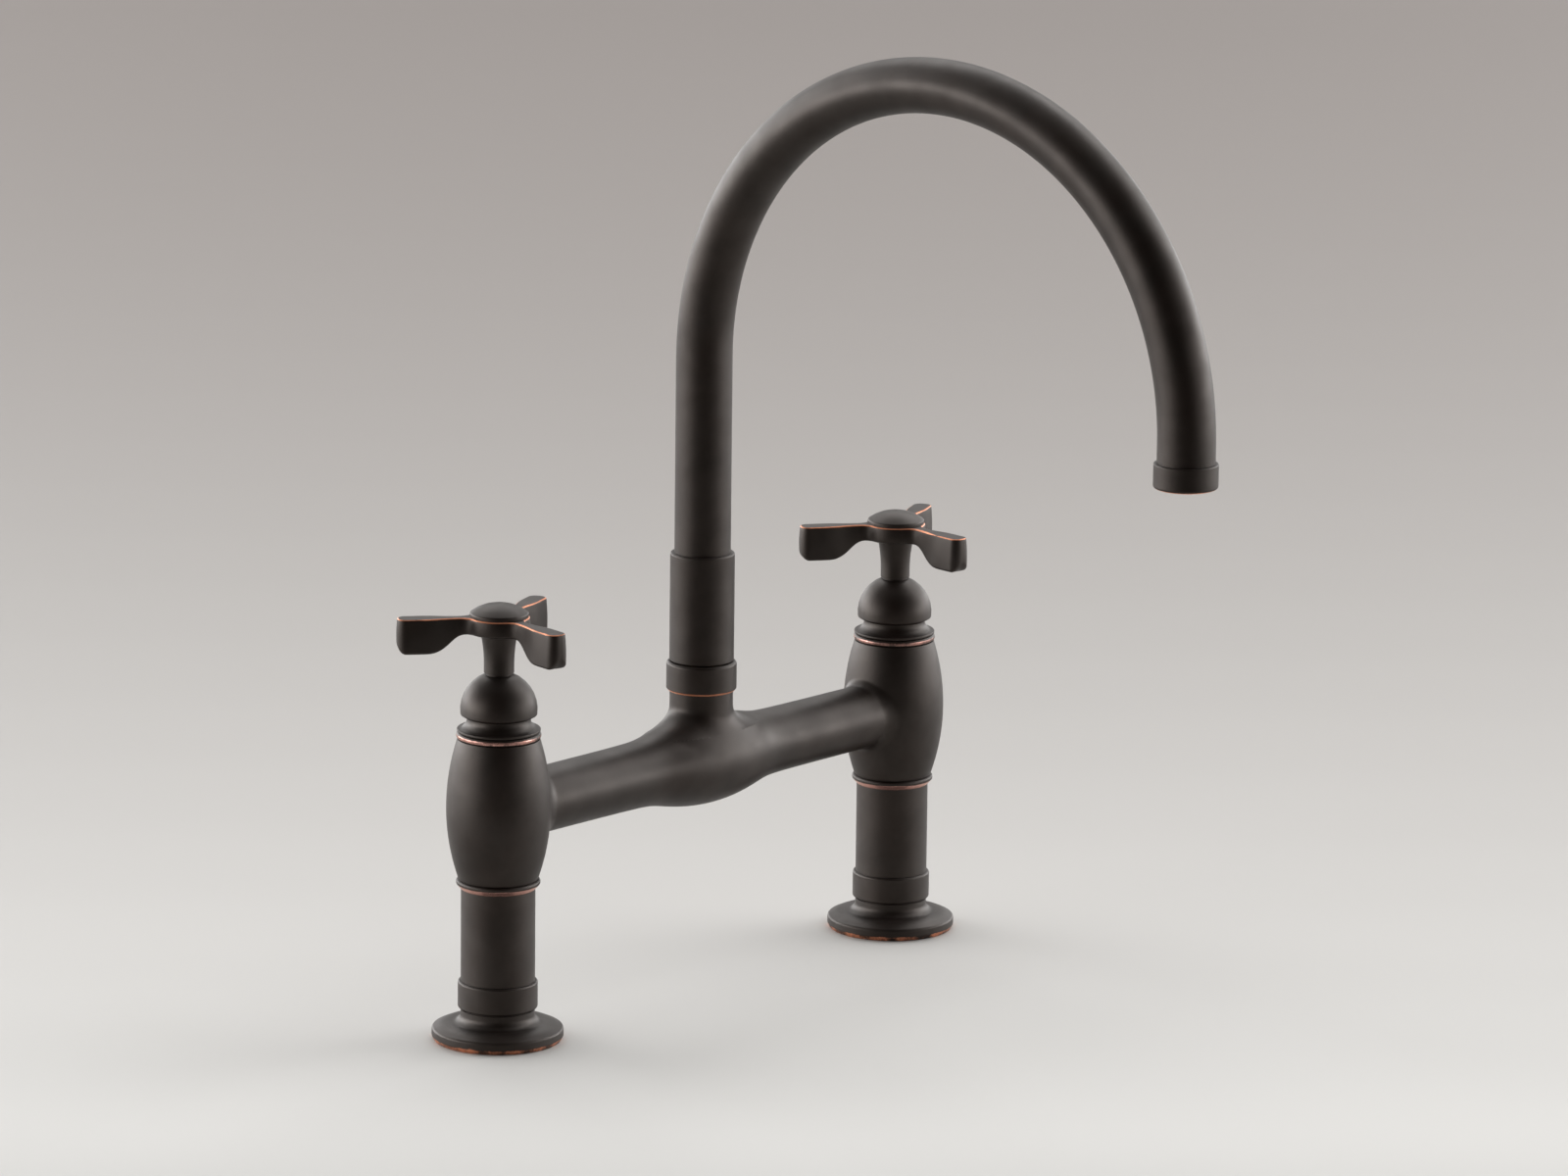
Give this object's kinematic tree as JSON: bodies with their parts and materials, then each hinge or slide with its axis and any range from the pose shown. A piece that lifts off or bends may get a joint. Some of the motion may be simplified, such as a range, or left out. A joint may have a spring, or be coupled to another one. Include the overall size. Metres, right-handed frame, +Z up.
{
  "type": "two handle bridge kitchen faucet",
  "caption": "Deck mounted bridge kitchen faucet in oil-rubbed bronze with a tall swivelling gooseneck spout and hot and cold prong handles.",
  "frame": {"origin": "on the deck plane, midway between the hot and cold valve axes", "axes": "+Z up, +X from the hot valve to the cold valve, spout over the bowl towards -Y"},
  "size_m": [0.2629, 0.2453, 0.397],
  "materials": {
    "bronze": "oil-rubbed bronze, satin, worn to copper on edges",
    "worn_copper": "satin, finish rubbed through to copper",
    "raw_brass": "machined, bare",
    "steel": "stamped and turned stainless steel",
    "rubber": "moulded, matte",
    "ceramic": "ground alumina",
    "nylon": "moulded acetal, satin"
  },
  "bodies": {
    "faucet_body": {"left_clamp_seal": "rubber", "left_clamp_washer": "steel", "left_mounting_nut": "raw_brass", "left_shank": "raw_brass", "left_deck_gasket": "rubber", "left_deck_flange": "bronze", "left_leg_collar": "bronze", "left_leg_tube": "bronze", "left_lower_trim_ring": "worn_copper", "left_valve_barrel": "bronze", "left_cartridge_seat_seal": "rubber", "left_cartridge_body": "raw_brass", "left_fixed_disc": "ceramic", "left_spindle_seal": "rubber", "left_gland_nut": "raw_brass", "left_upper_trim_ring": "worn_copper", "left_bonnet": "bronze", "right_clamp_seal": "rubber", "right_clamp_washer": "steel", "right_mounting_nut": "raw_brass", "right_shank": "raw_brass", "right_deck_gasket": "rubber", "right_deck_flange": "bronze", "right_leg_collar": "bronze", "right_leg_tube": "bronze", "right_lower_trim_ring": "worn_copper", "right_valve_barrel": "bronze", "right_cartridge_seat_seal": "rubber", "right_cartridge_body": "raw_brass", "right_fixed_disc": "ceramic", "right_spindle_seal": "rubber", "right_gland_nut": "raw_brass", "right_upper_trim_ring": "worn_copper", "right_bonnet": "bronze", "bridge": "bronze", "left_bridge_seal": "rubber", "right_bridge_seal": "rubber", "swivel_washer": "nylon", "union_nut": "bronze"},
    "left_handle_set": {"left_turning_disc": "ceramic", "left_spindle": "raw_brass", "left_handle": "bronze", "left_handle_screw": "steel", "left_handle_cap": "bronze"},
    "right_handle_set": {"right_turning_disc": "ceramic", "right_spindle": "raw_brass", "right_handle": "bronze", "right_handle_screw": "steel", "right_handle_cap": "bronze"},
    "spout": {"swivel_post": "raw_brass", "lower_post_seal": "rubber", "upper_post_seal": "rubber", "spout_sleeve": "bronze", "spout_tube": "bronze", "outlet_collar": "bronze", "aerator": "nylon", "aerator_washer": "rubber"}
  },
  "joints": [
    {"name": "left_handle_turn", "type": "hinge", "parent": "faucet_body", "child": "left_handle_set", "pos_m": [-0.1016, 0, 0.14616], "axis": [0, 0, 1], "range_deg": [0, 90]},
    {"name": "right_handle_turn", "type": "hinge", "parent": "faucet_body", "child": "right_handle_set", "pos_m": [0.1016, 0, 0.14616], "axis": [0, 0, -1], "range_deg": [0, 90]},
    {"name": "spout_swivel", "type": "hinge", "parent": "faucet_body", "child": "spout", "pos_m": [0, 0, 0.1037], "axis": [0, 0, 1], "continuous": true}
  ]
}
